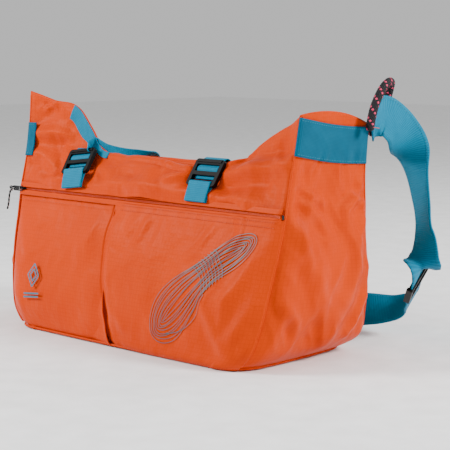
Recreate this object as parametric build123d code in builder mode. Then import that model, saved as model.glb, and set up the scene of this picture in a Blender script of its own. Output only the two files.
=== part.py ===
"""Rope storage bag: a wide soft bag with compression straps, zipped front pocket and shoulder strap.

Millimetres. X runs along the bag, -Y is the pocket side, +Z is up. The origin is the centre of the
base panel's underside. Fabric is drawn 2 mm thick, which is much thicker than the real nylon.
"""

import os
from math import cos, pi, radians, sin, tan

from build123d import *

os.makedirs("parts", exist_ok=True)

# Driving dimensions
FABRIC = 2.0
BASE_THICK = 3.0
SEAM_GAP = 0.4
CORNER_GAP = 1.2
PROUD_GAP = 0.4
ZIP_Z = 187.0
ZIP_Y = -70.0
BAND_HEIGHT = 46.0
BAND_THICK = 1.6
POCKET_THICK = 1.5
SHOULDER_WEB = 50.0
SHOULDER_THICK = 2.4
BUCKLE_WEB = 38.0
WEB_THICK = 1.5
ROPE_DIAMETER = 10.5
PULL_CORD_DIAMETER = 2.6

# Outline of the front and back walls at four heights: both ends and the middle, as (x, y)
LEVELS = (BASE_THICK, ZIP_Z, 250.0, 326.0)
FRONT = (
    ((-217, -114), (0, -117), (217, -114)),
    ((-254, ZIP_Y), (0, ZIP_Y - 0.1), (254, ZIP_Y)),
    ((-257, -56), (0, -28), (251, -54)),
    ((-266, -44), (0, -20), (262, -46)),
)
BACK = (
    ((-217, 114), (0, 117), (217, 114)),
    ((-254, 78), (0, 84), (254, 82)),
    ((-257, 24), (0, 30), (253, 79)),
    ((-264, 2), (0, 22), (264, 80)),
)

# The mouth's rim, seen from the front: the ends rise into horns, as (x, z)
FRONT_RIM = ((-300, 332), (-262, 323), (-162, 297), (-124, 252), (-80, 242), (0, 238), (110, 235),
             (150, 248), (222, 291), (262, 307), (300, 316))
BACK_RIM = ((-300, 306), (-262, 300), (-186, 279), (-150, 252), (-110, 240), (0, 234), (110, 232),
            (160, 240), (210, 264), (262, 290), (300, 302))


def finish(part, name):
    """Label a finished piece and write its STEP file."""
    part.part.label = name
    export_step(part.part, f"parts/{name}.step")


def row_at(wall, height):
    """A wall's three outline points at any height, on straight lines between its levels."""
    span = next(i for i in range(3) if height <= LEVELS[i + 1] or i == 2)
    share = (height - LEVELS[span]) / (LEVELS[span + 1] - LEVELS[span])
    pairs = zip(wall[span], wall[span + 1])
    return [Vector(*low) * (1 - share) + Vector(*high) * share for low, high in pairs]


def strip(height, points, outside, inside):
    """A curved strip in a level plane: one arc moved by outside and the same arc moved by inside."""
    start, middle, end = points
    with BuildSketch(Plane.XY.offset(height)) as sketch:
        with BuildLine():
            outer = ThreePointArc(start + outside, middle + outside, end + outside)
            inner = ThreePointArc(start + inside, middle + inside, end + inside)
            Line(outer @ 0, inner @ 0)
            Line(outer @ 1, inner @ 1)
        make_face()
    return sketch.sketch


def wall_strips(wall, heights, outward, proud, thick):
    """Strips of the front wall (outward -1) or back wall (outward 1), proud of its outline."""
    away = Vector(0, outward * proud)
    behind = Vector(0, outward * (proud - thick))
    return [strip(height, row_at(wall, height), away, behind) for height in heights]


def end_strips(side, heights, proud, thick):
    """Strips of an end wall between the front and back walls, bulging a little in the middle."""
    index = 2 if side > 0 else 0
    strips = []
    for height in heights:
        front = row_at(FRONT, height)[index] + Vector(0, FABRIC + CORNER_GAP)
        back = row_at(BACK, height)[index] - Vector(0, FABRIC + CORNER_GAP)
        middle = (front + back) * 0.5 + Vector(3.0 * side, 0)
        away = Vector(side * proud, 0)
        behind = Vector(side * (proud - thick), 0)
        strips.append(strip(height, (front, middle, back), away, behind))
    return strips


def below_rim(rim):
    """A block that fills everything below a rim line."""
    with BuildPart() as block:
        with BuildSketch(Plane.XZ):
            with BuildLine():
                top = Spline(*rim)
                Polyline(top @ 1, (rim[-1][0], -10), (rim[0][0], -10), top @ 0)
            make_face()
        extrude(amount=300, both=True)
    return block.part


def outline_block(points, plane=Plane.XZ):
    """A long block with a polygon section, to trim a wall strip to a panel's outline."""
    with BuildPart() as block:
        with BuildSketch(plane):
            with BuildLine():
                Polyline(*points, close=True)
            make_face()
        extrude(amount=400, both=True)
    return block.part


# Base, and the walls of the bag
with BuildPart() as base_panel:
    with BuildSketch() as base_outline:
        Rectangle(434, 229)
        fillet(base_outline.vertices(), 18)
    extrude(amount=BASE_THICK - SEAM_GAP)
finish(base_panel, "base_panel")

with BuildPart() as front_panel:
    loft(wall_strips(FRONT, (BASE_THICK, ZIP_Z - SEAM_GAP), -1, 0, FABRIC), ruled=True)
finish(front_panel, "front_panel")

with BuildPart() as front_yoke:
    loft(wall_strips(FRONT, (ZIP_Z, 250, 326), -1, 0, FABRIC), ruled=True)
    add(below_rim(FRONT_RIM), mode=Mode.INTERSECT)
finish(front_yoke, "front_yoke")

with BuildPart() as back_panel:
    loft(wall_strips(BACK, (BASE_THICK, ZIP_Z - SEAM_GAP), 1, 0, FABRIC), ruled=True)
finish(back_panel, "back_panel")

with BuildPart() as back_yoke:
    loft(wall_strips(BACK, (ZIP_Z, 250, 326), 1, 0, FABRIC), ruled=True)
    add(below_rim(BACK_RIM), mode=Mode.INTERSECT)
finish(back_yoke, "back_yoke")

# End walls: their tops slope down towards the back
END_TOP = {
    "right": ((-130, 0), (-130, 322), (-46, 308), (85, 288), (130, 280), (130, 0)),
    "left": ((-130, 0), (-130, 300), (-46, 284), (30, 280), (130, 270), (130, 0)),
}
for side, name in ((1, "right"), (-1, "left")):
    with BuildPart() as end_panel:
        loft(end_strips(side, (BASE_THICK, ZIP_Z, 250, 326), 0, FABRIC), ruled=True)
        add(outline_block(END_TOP[name], Plane.YZ), mode=Mode.INTERSECT)
    finish(end_panel, f"{name}_end_panel")

# Wide webbing bands round the tops of the end walls
BAND_TOP = {"right": (304, 288), "left": (278, 275)}
for side, name in ((1, "right"), (-1, "left")):
    front_z, back_z = BAND_TOP[name]
    low = BAND_HEIGHT
    edge = ((-60, front_z), (90, back_z), (90, back_z - low), (-60, front_z - low))
    with BuildPart() as end_band:
        heights = (225, 250, 326)
        loft(end_strips(side, heights, PROUD_GAP + BAND_THICK, BAND_THICK), ruled=True)
        add(outline_block(edge, Plane.YZ), mode=Mode.INTERSECT)
    finish(end_band, f"{name}_end_band")

# Front pocket: two panels that meet in a slanting pleat
PLEAT_TOP = (-43, 178)
PLEAT_FOOT = (-10, 5)
PLEAT_WIDTH = 5
POCKET_OUTLINES = {
    "pocket_panel_left": ((-300, 178), (PLEAT_TOP[0] - PLEAT_WIDTH, 178),
                          (PLEAT_FOOT[0] - PLEAT_WIDTH, 5), (-300, 5)),
    "pocket_panel_right": ((300, 178), (PLEAT_TOP[0] + PLEAT_WIDTH, 178),
                           (PLEAT_FOOT[0] + PLEAT_WIDTH, 5), (300, 5)),
}
for name, outline in POCKET_OUTLINES.items():
    with BuildPart() as pocket_panel:
        loft(wall_strips(FRONT, (BASE_THICK, 180), -1, PROUD_GAP + POCKET_THICK, POCKET_THICK),
             ruled=True)
        add(outline_block(outline), mode=Mode.INTERSECT)
    finish(pocket_panel, name)

PLEAT_EDGE = PLEAT_WIDTH - SEAM_GAP
PLEAT_OUTLINE = ((PLEAT_TOP[0] - PLEAT_EDGE, 178), (PLEAT_TOP[0] + PLEAT_EDGE, 178),
                 (PLEAT_FOOT[0] + PLEAT_EDGE, 5), (PLEAT_FOOT[0] - PLEAT_EDGE, 5))
with BuildPart() as pocket_pleat:
    loft(wall_strips(FRONT, (BASE_THICK, 180), -1, PROUD_GAP + 0.6, 0.6), ruled=True)
    add(outline_block(PLEAT_OUTLINE), mode=Mode.INTERSECT)
finish(pocket_pleat, "pocket_pleat")

# Zipper along the pocket's top: two tapes, the coil between them and its end stops
TAPE_THICK = 0.8
COIL_HALF = 2.6
COIL_THICK = 2.0
with BuildPart() as zipper_tape_lower:
    loft(wall_strips(FRONT, (178.6, ZIP_Z - COIL_HALF - 0.2), -1, PROUD_GAP + TAPE_THICK,
                     TAPE_THICK), ruled=True)
finish(zipper_tape_lower, "zipper_tape_lower")

with BuildPart() as zipper_tape_upper:
    loft(wall_strips(FRONT, (ZIP_Z + COIL_HALF + 0.2, 196), -1, PROUD_GAP + 0.3 + TAPE_THICK,
                     TAPE_THICK), ruled=True)
finish(zipper_tape_upper, "zipper_tape_upper")

ZIP_TRAVEL = 478.0
SLIDER_X = -242.0
COIL_BACK = ZIP_Y - 1.3
COIL_Y = COIL_BACK - COIL_THICK / 2
with BuildPart() as zipper_coil:
    with Locations((0, COIL_Y, ZIP_Z)):
        Box(502, COIL_THICK, 2 * COIL_HALF)
finish(zipper_coil, "zipper_coil")

with BuildPart() as zipper_stops:
    with Locations((-253, COIL_Y, ZIP_Z), (253, COIL_Y, ZIP_Z)):
        Box(2, COIL_THICK, 2 * COIL_HALF)
finish(zipper_stops, "zipper_stops")

# Slider: a plate over the coil with two flanges, and a bridge that holds the pull tab's pin
SLIDER_LENGTH = 9.0
SLIDER_BACK = COIL_BACK - COIL_THICK - 0.3
SLIDER_PLATE = 1.6
PIN_Y = SLIDER_BACK - SLIDER_PLATE - 2.2
with BuildPart() as zipper_slider:
    with Locations((SLIDER_X, SLIDER_BACK - SLIDER_PLATE / 2, ZIP_Z)):
        Box(SLIDER_LENGTH, SLIDER_PLATE, 8.4)
    fillet(zipper_slider.edges().filter_by(Axis.Y), 1.5)
    with BuildSketch(Plane.XY.offset(ZIP_Z - 1.0)):
        with Locations((SLIDER_X, PIN_Y)):
            Rectangle(7.0, 4.6)
            Rectangle(4.4, 2.2, mode=Mode.SUBTRACT)
    extrude(amount=2.0)
finish(zipper_slider, "zipper_slider")

TAB_LENGTH = 19.0
with BuildPart() as zipper_pull_tab:
    with Locations((SLIDER_X, PIN_Y, ZIP_Z)):
        Cylinder(0.6, 7)
    for arm_z in (-2.9, 2.9):
        with Locations((SLIDER_X - 4.5, PIN_Y, ZIP_Z + arm_z)):
            Box(9, 1.2, 1.2)
    with Locations((SLIDER_X - 13.5, PIN_Y, ZIP_Z)):
        Box(TAB_LENGTH - 8, 1.2, 7)
    with Locations(Plane((SLIDER_X - TAB_LENGTH + 3, PIN_Y, ZIP_Z), z_dir=(0, 1, 0))):
        Cylinder(1.6, 4, mode=Mode.SUBTRACT)
finish(zipper_pull_tab, "zipper_pull_tab")


def cord_tube(name, route, diameter):
    """A round cord: straight runs joined by arcs as large as the runs beside them allow."""
    points = [Vector(*point) for point in route]
    radii = []
    for before, here, after in zip(points, points[1:], points[2:]):
        turn = (here - before).get_angle(after - here)
        shorter = min((here - before).length, (after - here).length)
        radii.append(0.45 * shorter / tan(radians(turn / 2)))
    print(name, "smallest radius", round(min(radii), 1), "radii", [round(r, 1) for r in radii])
    with BuildPart() as tube:
        with BuildLine():
            path = FilletPolyline(*points, radius=radii)
        with BuildSketch(Plane(path @ 0, z_dir=path % 0)):
            Circle(diameter / 2)
        sweep()
    area = pi * diameter * diameter / 4
    print(name, "length", round(path.length, 1), "volume share", round(tube.part.volume
          / (area * path.length), 3))
    finish(tube, name)


# Cord tied through the pull tab, hanging over the bag's left corner
TAB_END = SLIDER_X - TAB_LENGTH
PULL_CORD_ROUTE = ((TAB_END - 1.6, PIN_Y, 187.5), (TAB_END - 6.5, PIN_Y - 0.4, 185.0),
                   (TAB_END - 8.4, PIN_Y - 1.6, 178.5), (TAB_END - 7.2, PIN_Y - 3.6, 171.0),
                   (TAB_END - 6.2, PIN_Y - 5.4, 163.5), (TAB_END - 7.0, PIN_Y - 7.0, 156.5))
cord_tube("zipper_pull_cord", PULL_CORD_ROUTE, PULL_CORD_DIAMETER)

# Grab rope: an arch of rope from the right band's top, over the strap's edge and down behind it
ROPE_ROUTE = ((275, 57, 284), (275, 61, 304), (275, 71, 323), (273, 86, 338), (269, 103, 344),
              (260, 116, 340), (252, 120, 325), (249, 115, 306), (249, 103, 289), (249, 90, 276))
cord_tube("grab_rope", ROPE_ROUTE, ROPE_DIAMETER)


def ribbon(name, stations, width, thick):
    """Webbing lofted through stations, each a centre point and the direction of its width."""
    centres = [Vector(*centre) for centre, across in stations]
    faces = []
    for index, (centre, across) in enumerate(stations):
        ahead = centres[min(index + 1, len(centres) - 1)]
        behind = centres[max(index - 1, 0)]
        across = Vector(*across).normalized()
        along = ahead - behind
        along = (along - across * along.dot(across)).normalized()
        with BuildSketch(Plane(centres[index], x_dir=across, z_dir=along)) as section:
            Rectangle(width, thick)
        faces.append(section.sketch)
    with BuildPart() as web:
        loft(faces, ruled=True)
    length = sum((b - a).length for a, b in zip(centres, centres[1:]))
    print(name, "length", round(length))
    finish(web, name)


# Shoulder strap: from the right band out behind the bag, through its adjuster, along the floor
# behind the back panel and up to the left band
GLIDE_CENTRE = Vector(262, 174, 88)
GLIDE_ACROSS = Vector(0, 0.707107, 0.707107)
GLIDE_ALONG = Vector(-0.60, 0.565685, -0.565685)
STRAIGHT_BEFORE = 24.0
STRAIGHT_AFTER = 56.0
glide_start = GLIDE_CENTRE - GLIDE_ALONG * STRAIGHT_BEFORE
glide_end = GLIDE_CENTRE + GLIDE_ALONG * STRAIGHT_AFTER
UPPER_STATIONS = (
    ((267.5, 74, 294), (0, 0.57, 0.82)),
    ((266.5, 96, 311), (0, 0.57, 0.82)),
    ((266, 118, 297), (0, 0.57, 0.82)),
    ((266, 140, 274), (0.2, 0.52, 0.83)),
    ((265, 158, 249), (0.5, -0.1, 0.6)),
    ((265, 171, 222), (0.75, -0.6, 0.35)),
    ((268, 176, 190), (0.8, -0.5, 0.3)),
    ((273, 172, 155), (0.8, -0.36, 0.42)),
    ((279, 163, 124), (0.45, 0.15, 0.8)),
    (glide_start, GLIDE_ACROSS),
    (GLIDE_CENTRE, GLIDE_ACROSS),
)
LOWER_STATIONS = (
    (GLIDE_CENTRE, GLIDE_ACROSS),
    (glide_end, GLIDE_ACROSS),
    ((200, 214, 44), (-0.6, 0.58, 0.38)),
    ((150, 206, 30), (0, 0.12, 0.99)),
    ((60, 190, 26.5), (0, 0, 1)),
    ((-60, 176, 26.5), (0, 0, 1)),
    ((-165, 162, 36), (0.1, 0.05, 0.99)),
    ((-232, 138, 72), (0.45, 0.2, 0.87)),
    ((-266, 104, 132), (0.3, 0.75, 0.6)),
    ((-275, 64, 196), (0, 0.87, 0.5)),
    ((-267, 20, 258), (0, 0.87, 0.5)),
)
ribbon("shoulder_strap_upper", UPPER_STATIONS, SHOULDER_WEB, SHOULDER_THICK)
ribbon("shoulder_strap_lower", LOWER_STATIONS, SHOULDER_WEB, SHOULDER_THICK)

# Strap adjuster: side rails, two end bars under the webbing and a middle bar over it
GLIDE_WIDTH = 61.0
GLIDE_LENGTH = 34.0
GLIDE_RAIL = 4.6
GLIDE_BAR = 5.0
BAR_LIFT = 3.0
glide_plane = Plane(GLIDE_CENTRE, x_dir=GLIDE_ACROSS, z_dir=GLIDE_ACROSS.cross(GLIDE_ALONG))
with BuildPart(glide_plane) as strap_adjuster:
    for rail_x in (-1, 1):
        with Locations((rail_x * (GLIDE_WIDTH - GLIDE_RAIL) / 2, 0, 0)):
            Box(GLIDE_RAIL, GLIDE_LENGTH, 8.4)
    for bar_y, bar_z in ((-14.5, -BAR_LIFT), (0, BAR_LIFT), (14.5, -BAR_LIFT)):
        with Locations((0, bar_y, bar_z)):
            Box(GLIDE_WIDTH - 2, GLIDE_BAR, 2.4)
    fillet(strap_adjuster.edges().filter_by(lambda edge: edge.length > 30), 0.8)
finish(strap_adjuster, "strap_adjuster")

# Compression buckles: ladder-locks that tilt about the bar in their sewn webbing tabs
BUCKLE_WIDTH = 50.0
BUCKLE_LENGTH = 38.0
BUCKLE_THICK = 5.6
BAR_MARGIN = 3.5
SLOT_WIDTH = 39.6
HINGE_BAR_RADIUS = 2.2
HINGE_Z = 212.0
HINGE_STANDOFF = {"right": 8.0, "left": 12.0}
BUCKLE_X = {"right": 104.0, "left": -137.0}
BUCKLE_TURN = {"right": 0.0, "left": 8.0}
BUCKLE_LEAN = {"right": 4.0, "left": 8.0}


def buckle_frames(name):
    """The tab's plane and the buckle's: X along the hinge bar, Y up the yoke's slope, Z away from
    the bag. The buckle leans back over the rim from its tab."""
    across = BUCKLE_X[name]
    rows = [row_at(FRONT, height) for height in (ZIP_Z, 250)]
    depths = [row[1].Y + (row[0].Y - row[1].Y) * (across / row[0].X) ** 2 for row in rows]
    slope = Vector(0, depths[1] - depths[0], 250 - ZIP_Z).normalized()
    outward = Vector(0, -slope.Z, slope.Y)
    share = (HINGE_Z - ZIP_Z) / (250 - ZIP_Z)
    foot = Vector(across, depths[0] * (1 - share) + depths[1] * share, HINGE_Z)
    centre = foot + outward * HINGE_STANDOFF[name]
    turn = radians(BUCKLE_TURN[name])
    hinge_line = Vector(1, 0, 0) * cos(turn) + slope * sin(turn)
    seat = Plane(centre, x_dir=hinge_line, z_dir=outward)
    lean = radians(BUCKLE_LEAN[name])
    leant = outward * cos(lean) + seat.y_dir * sin(lean)
    return seat, Plane(centre, x_dir=hinge_line, z_dir=leant)


for name in ("right", "left"):
    seat, plane = buckle_frames(name)
    print(name, "buckle hinge at", plane.origin, "axis", plane.x_dir, "up", plane.y_dir)

    with BuildPart(plane) as buckle:
        with BuildSketch(plane.offset(-BUCKLE_THICK / 2)):
            with Locations((0, BUCKLE_LENGTH / 2 - BAR_MARGIN)):
                RectangleRounded(BUCKLE_WIDTH, BUCKLE_LENGTH, 4)
            with Locations((0, 3.5)):
                Rectangle(SLOT_WIDTH, 16, mode=Mode.SUBTRACT)
            with Locations((0, 22)):
                Rectangle(SLOT_WIDTH, 10, mode=Mode.SUBTRACT)
        extrude(amount=BUCKLE_THICK)
        with Locations((0, 25, -BUCKLE_THICK / 2)):
            Box(SLOT_WIDTH, 40, 3.6, mode=Mode.SUBTRACT)
        with Locations((0, 31.5, BUCKLE_THICK / 2)):
            Box(BUCKLE_WIDTH - 8, 4.0, 2.4)
        with Locations(Plane.YZ):
            Cylinder(HINGE_BAR_RADIUS, SLOT_WIDTH + 4)
    finish(buckle, f"{name}_buckle")

    # The webbing that lies in the buckle, under its middle bar and lip
    with BuildPart(plane) as threaded:
        with Locations((0, 23.5, -2.2)):
            Box(BUCKLE_WEB, 27.0, WEB_THICK)
    finish(threaded, f"{name}_threaded_webbing")

    # The tab: a loop of webbing round the hinge bar, its two layers sewn together below
    loop_inner = HINGE_BAR_RADIUS + 0.5
    loop_outer = loop_inner + WEB_THICK
    with BuildPart() as tab:
        with BuildSketch(Plane(seat.origin, x_dir=seat.y_dir, z_dir=seat.x_dir)):
            Circle(loop_outer)
            Circle(loop_inner, mode=Mode.SUBTRACT)
            with Locations((-13.5, 0)):
                Rectangle(19.0, 2 * WEB_THICK)
            Circle(loop_inner, mode=Mode.SUBTRACT)
        extrude(amount=BUCKLE_WEB / 2, both=True)
    finish(tab, f"{name}_buckle_tab")

# Compression straps: from each buckle across the mouth and down the outside of the back yoke.
# The left one is bunched to a narrow cord of webbing, as (y, z) at each strap's place along X.
TOP_STRAPS = {
    "right": (104.0, BUCKLE_WEB, ((-36, 248), (-28, 249.5), (-18, 242), (42, 243), (58, 239), (71, 214))),
    "left": (-115.0, 14.0, ((-29.5, 256), (-22, 258), (24, 254), (36, 248), (62, 216))),
}
for name, (across, width, side_view) in TOP_STRAPS.items():
    with BuildPart() as top_strap:
        with BuildSketch(Plane.YZ.offset(across - width / 2)):
            with BuildLine():
                FilletPolyline(*side_view, radius=5)
            trace(line_width=WEB_THICK)
        extrude(amount=width)
    finish(top_strap, f"{name}_top_strap")

# Loose end of the left strap, lying behind the rim where the horn meets the saddle
TAIL_STATIONS = (
    ((-166, -24, 299), (0.9, 0, 0.4)),
    ((-150, -21, 273), (0.9, 0, 0.45)),
    ((-138, -16, 255), (0.7, 0.2, 0.7)),
    ((-124, -11, 244.5), (0.3, 0.3, 0.9)),
    ((-100, -8, 241), (0, 0.3, 0.95)),
    ((-78, -6, 240), (0, 0.3, 0.95)),
)
ribbon("left_strap_tail", TAIL_STATIONS, 12.0, WEB_THICK)

# Piping round the base seam
with BuildPart() as base_piping:
    with BuildSketch(Plane.XY.offset(0.3)):
        RectangleRounded(452, 246, 21)
        RectangleRounded(445, 239, 18, mode=Mode.SUBTRACT)
    extrude(amount=3.4)
    fillet(base_piping.edges().filter_by(GeomType.LINE, reverse=False)
           .filter_by(lambda edge: edge.length > 100), 1.2)
finish(base_piping, "base_piping")

# Bar of thread that holds the strap to the right band
with BuildPart() as strap_bartack:
    with Locations((269.6, 73.5, 287)):
        Box(0.8, 15, 3.2)
finish(strap_bartack, "strap_bartack")
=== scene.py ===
# %% [markdown]
# # A rope storage bag
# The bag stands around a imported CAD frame. The frame gives every place and every moving body, and
# this script makes the fabric, the webbing, the rope and their finishes around it. Shapes are
# worked out in millimetres and scaled to metres when a mesh is made.

# %% Load the frame
import math

import bpy
import numpy as np
from mathutils import Matrix, Vector


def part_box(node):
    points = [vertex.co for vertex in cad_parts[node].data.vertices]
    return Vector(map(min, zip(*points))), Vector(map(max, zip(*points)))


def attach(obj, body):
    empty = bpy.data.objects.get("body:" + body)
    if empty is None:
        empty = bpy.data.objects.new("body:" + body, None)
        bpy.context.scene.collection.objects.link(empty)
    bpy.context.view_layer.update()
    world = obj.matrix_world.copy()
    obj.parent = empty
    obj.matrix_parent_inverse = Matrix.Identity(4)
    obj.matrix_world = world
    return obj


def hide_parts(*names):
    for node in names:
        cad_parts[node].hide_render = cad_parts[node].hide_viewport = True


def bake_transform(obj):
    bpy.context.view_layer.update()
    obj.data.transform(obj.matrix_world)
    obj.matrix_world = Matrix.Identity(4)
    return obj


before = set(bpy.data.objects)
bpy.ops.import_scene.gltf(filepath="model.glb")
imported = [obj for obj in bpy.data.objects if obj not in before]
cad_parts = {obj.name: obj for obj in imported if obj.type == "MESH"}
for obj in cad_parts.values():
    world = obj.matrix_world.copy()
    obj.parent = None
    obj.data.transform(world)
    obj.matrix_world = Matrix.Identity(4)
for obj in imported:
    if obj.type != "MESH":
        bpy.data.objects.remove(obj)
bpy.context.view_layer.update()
MM = 0.001

# %% [markdown]
# ## Camera, floor and light
# The camera is far away behind a long lens, so that the bag's long sides stay nearly parallel. The
# light is a bright pale room: a soft sky all round, one panel high on the left, an equal one on
# the right and a weaker one behind, which leaves soft shading in the folds.

# %% Camera
CAMERA_AZIMUTH = math.radians(45.14)
CAMERA_ELEVATION = math.radians(7.05)
CAMERA_DISTANCE = 1.992
CAMERA_LENS = 120.0
AIM = Vector((0.0415, 0.0417, 0.150))

back = Vector((math.sin(CAMERA_AZIMUTH) * math.cos(CAMERA_ELEVATION),
               -math.cos(CAMERA_AZIMUTH) * math.cos(CAMERA_ELEVATION),
               math.sin(CAMERA_ELEVATION)))
right = Vector((math.cos(CAMERA_AZIMUTH), math.sin(CAMERA_AZIMUTH), 0.0))
camera_data = bpy.data.cameras.new("camera")
camera_data.lens = CAMERA_LENS
camera = bpy.data.objects.new("camera", camera_data)
camera.matrix_world = Matrix.Translation(AIM + back * CAMERA_DISTANCE) @ Matrix(
    (right, back.cross(right), back)).transposed().to_4x4()
bpy.context.scene.collection.objects.link(camera)
bpy.context.scene.camera = camera


# %% Colour helper, floor and lights
def colour(code):
    """An sRGB hex code as linear red, green, blue and a full alpha."""
    parts = np.array([int(code[i:i + 2], 16) for i in (1, 3, 5)]) / 255.0
    linear = np.where(parts <= 0.04045, parts / 12.92, ((parts + 0.055) / 1.055) ** 2.4)
    return (*linear.tolist(), 1.0)


def area_light(name, place, aim, size, power):
    """A square soft light at place that faces aim."""
    data = bpy.data.lights.new(name, "AREA")
    data.size = size
    data.energy = power
    light = bpy.data.objects.new(name, data)
    light.location = place
    light.rotation_euler = (Vector(aim) - Vector(place)).to_track_quat("-Z", "Y").to_euler()
    bpy.context.scene.collection.objects.link(light)


area_light("key_left", (-1.15, -1.55, 1.25), (-0.1, -0.08, 0.15), 0.6, 66)
area_light("right_high", (2.0, 0.5, 1.3), (0.1, 0, 0.15), 0.6, 66)
area_light("rim_back", (0.6, 2.0, 1.8), (0, 0, 0.2), 1.2, 24)

world = bpy.data.worlds.new("pale_room")
bpy.context.scene.world = world
world.use_nodes = True
world.node_tree.nodes["Background"].inputs["Color"].default_value = colour("#ffffff")
world.node_tree.nodes["Background"].inputs["Strength"].default_value = 0.62


# %% [markdown]
# ## Meshes from grids
# Almost every piece is a grid of points worked out with numpy. One function turns a grid into a
# mesh, with a UV map in real millimetres, so that a weave keeps its thread spacing on any piece.

# %% Grid mesh helper
def new_object(name, mesh):
    piece = bpy.data.objects.new(name, mesh)
    bpy.context.scene.collection.objects.link(piece)
    return piece


def grid_mesh(name, points, uv=None, closed_u=False, closed_v=False):
    """A mesh from points[i, j] in millimetres. Neighbours along i and j become quads; a closed
    direction joins its last row to its first. uv[i, j] is stored in millimetres."""
    points = np.asarray(points, float)
    rows, columns = points.shape[:2]
    row = np.arange(rows if closed_u else rows - 1)
    column = np.arange(columns if closed_v else columns - 1)
    i, j = np.meshgrid(row, column, indexing="ij")
    i2, j2 = (i + 1) % rows, (j + 1) % columns
    quads = np.stack([i * columns + j, i2 * columns + j, i2 * columns + j2, i * columns + j2], -1)
    mesh = bpy.data.meshes.new(name)
    mesh.from_pydata((points.reshape(-1, 3) * MM).tolist(), [], quads.reshape(-1, 4).tolist())
    if uv is not None:
        layer = mesh.uv_layers.new(name="millimetres")
        corners = quads.reshape(-1)
        layer.data.foreach_set("uv", np.asarray(uv, float).reshape(-1, 2)[corners].ravel())
    mesh.polygons.foreach_set("use_smooth", np.ones(len(mesh.polygons), bool))
    mesh.update()
    return new_object(name, mesh)


def joined_mesh(name, vertices, faces):
    """A smooth mesh from an array of points in millimetres and a list of faces."""
    mesh = bpy.data.meshes.new(name)
    mesh.from_pydata((vertices * MM).tolist(), [], faces)
    mesh.polygons.foreach_set("use_smooth", np.ones(len(mesh.polygons), bool))
    mesh.update()
    return new_object(name, mesh)


def unit(vector):
    return vector / np.linalg.norm(vector, axis=-1, keepdims=True)


def distances(line):
    """Distance along a line at each of its points, from 0."""
    return np.concatenate([[0], np.cumsum(np.linalg.norm(np.diff(line, axis=0), axis=1))])


def sampled(at, reach, values):
    """Values of three columns at the distances at, read straight between the points at reach."""
    return np.stack([np.interp(at, reach, values[:, k]) for k in range(3)], -1)


def thicken(piece, thickness, offset=-1.0):
    """Give cloth its thickness: inwards from its sheet, or to both sides with an offset of 0."""
    modifier = piece.modifiers.new("solidify", "SOLIDIFY")
    modifier.thickness = thickness * MM
    modifier.offset = offset
    modifier.use_even_offset = False


floor = grid_mesh("floor", np.stack(np.meshgrid((-6000, 6000), (-6000, 6000), (-0.2,),
                                                indexing="ij"), -1)[:, :, 0, :])

# %% [markdown]
# ## Finishes
# Each finish is named for the real material. A small function adds one shader node at a time, so a
# finish reads from top to bottom: its pattern first, then its colour, then its bump. Patterns
# follow each piece's own UV map, which is in millimetres, so a scale is one over a real size.

# %% Node helper and the start of a finish
def add_node(material, kind, settings, values):
    """Add one shader node. Settings are its options; a value is a number or another node's output."""
    node = material.node_tree.nodes.new("ShaderNode" + kind)
    for key, value in settings.items():
        setattr(node, key, value)
    for key, value in values.items():
        if isinstance(value, bpy.types.NodeSocket):
            material.node_tree.links.new(value, node.inputs[key])
        else:
            node.inputs[key].default_value = value
    return node


def finish_material(name, roughness, **sockets):
    """A material and its principled shader with its constants set on the shader's own sockets."""
    material = bpy.data.materials.new(name)
    material.use_nodes = True
    shader = material.node_tree.nodes["Principled BSDF"]
    shader.inputs["Roughness"].default_value = roughness
    shader.inputs["IOR"].default_value = 1.5
    shader.inputs["Metallic"].default_value = 0.0
    for key, value in sockets.items():
        shader.inputs[key.replace("_", " ")].default_value = value
    return material, shader


def bands(material, vector, period, direction="X"):
    """Stripes of the given period in the vector's unit, from 0 to 1 and back as a sine."""
    return add_node(material, "TexWave", {"bands_direction": direction, "wave_profile": "SIN"},
                    {"Vector": vector, "Scale": 0.31416 / period}).outputs["Fac"]


def maths(material, operation, *values):
    node = add_node(material, "Math", {"operation": operation}, dict(enumerate(values)))
    return node.outputs[0]


def connect(material, output, shader, socket):
    material.node_tree.links.new(output, shader.inputs[socket])


def millimetres(material):
    return add_node(material, "UVMap", {"uv_map": "millimetres"}, {}).outputs[0]


def flat_noise(material, size, detail, options=(), **values):
    """Noise in the plane of the UV map: its largest marks are about size millimetres across."""
    return add_node(material, "TexNoise", {"noise_dimensions": "2D", **dict(options)},
                    {"Vector": millimetres(material), "Scale": 1 / size, "Detail": detail,
                     **values}).outputs["Fac"]


def mixed(material, factor, first, second):
    """A colour that goes from first to second as factor goes from 0 to 1."""
    return add_node(material, "Mix", {"data_type": "RGBA"},
                    {"Factor": factor, "A": first, "B": second}).outputs["Result"]


def bumped(material, height, strength, distance, **before):
    """A normal tilted by height, on top of the bump before it if there is one."""
    return add_node(material, "Bump", {}, {"Height": height, "Strength": strength,
                                           "Distance": distance, **before}).outputs[0]


# %% [markdown]
# ## Coated ripstop nylon
# The bag's cloth is a light nylon with a polyurethane coating. Thick yarns every few millimetres
# make a faint grid, the coating gives it a broad soft gloss, and it crumples sharply. The plain
# weave is 0.3 mm, too fine to show here, so it is drawn at 0.9 mm. The crumple could be more
# geometry, but folds under 10 mm are cheaper as bump.

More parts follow.
